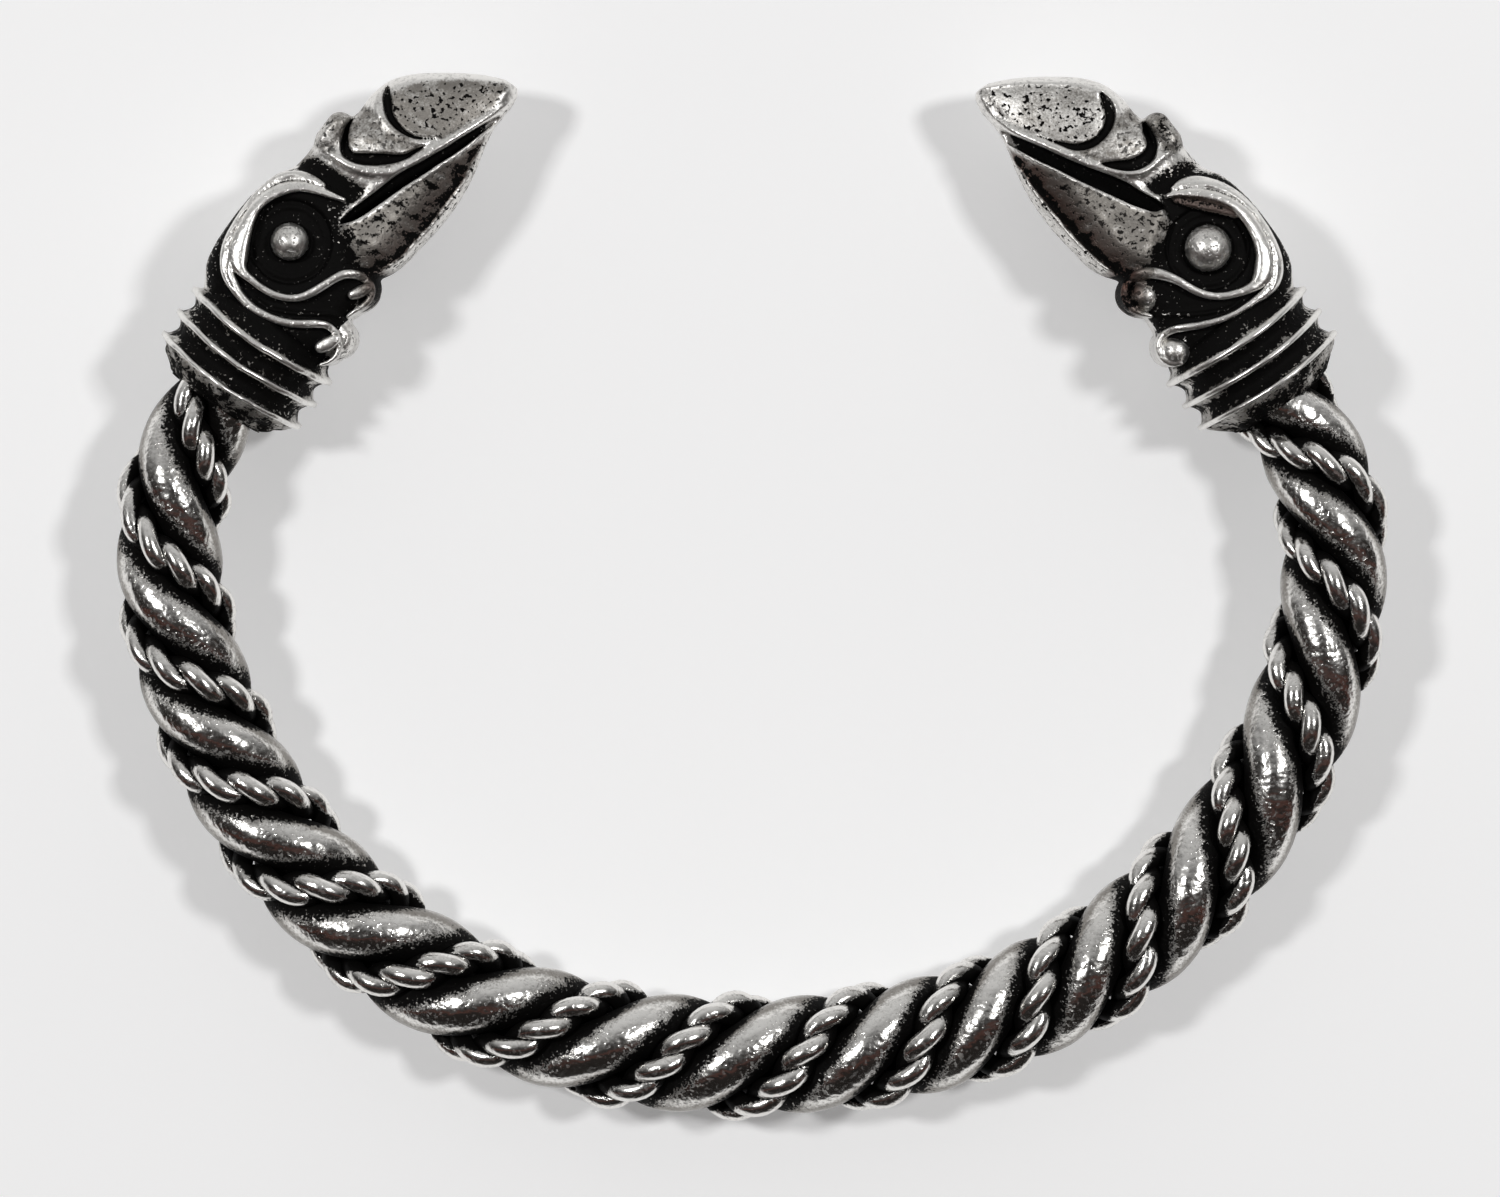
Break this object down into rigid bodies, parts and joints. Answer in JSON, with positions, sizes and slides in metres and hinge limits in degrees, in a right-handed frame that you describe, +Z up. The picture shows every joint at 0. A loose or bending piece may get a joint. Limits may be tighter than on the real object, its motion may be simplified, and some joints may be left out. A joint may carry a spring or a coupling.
{
  "type": "twisted arm ring",
  "caption": "Open twisted metal arm ring with a ribbed collar and a raven's head at each end, worn round the wrist.",
  "frame": {"origin": "middle of the footprint, on the surface that the ring lies on", "axes": "+X across the ring from the left head to the right one, +Y from the middle of the hoop towards the mouth between the beaks, +Z up from the surface"},
  "size_m": [0.0852, 0.0704, 0.0115],
  "materials": {
    "smooth_rods": "antiqued pewter, polished on the crowns and dark in the grooves",
    "wire_ropes": "antiqued pewter, polished on the beads and black between the wires",
    "cast_heads": "antiqued cast pewter with casting pits, polished on the ridges and black in the hollows"
  },
  "bodies": {
    "root": {"rod_1": "smooth_rods", "rod_2": "smooth_rods", "rope_1": "wire_ropes", "rope_2": "wire_ropes", "head_left": "cast_heads", "head_right": "cast_heads"}
  },
  "joints": []
}
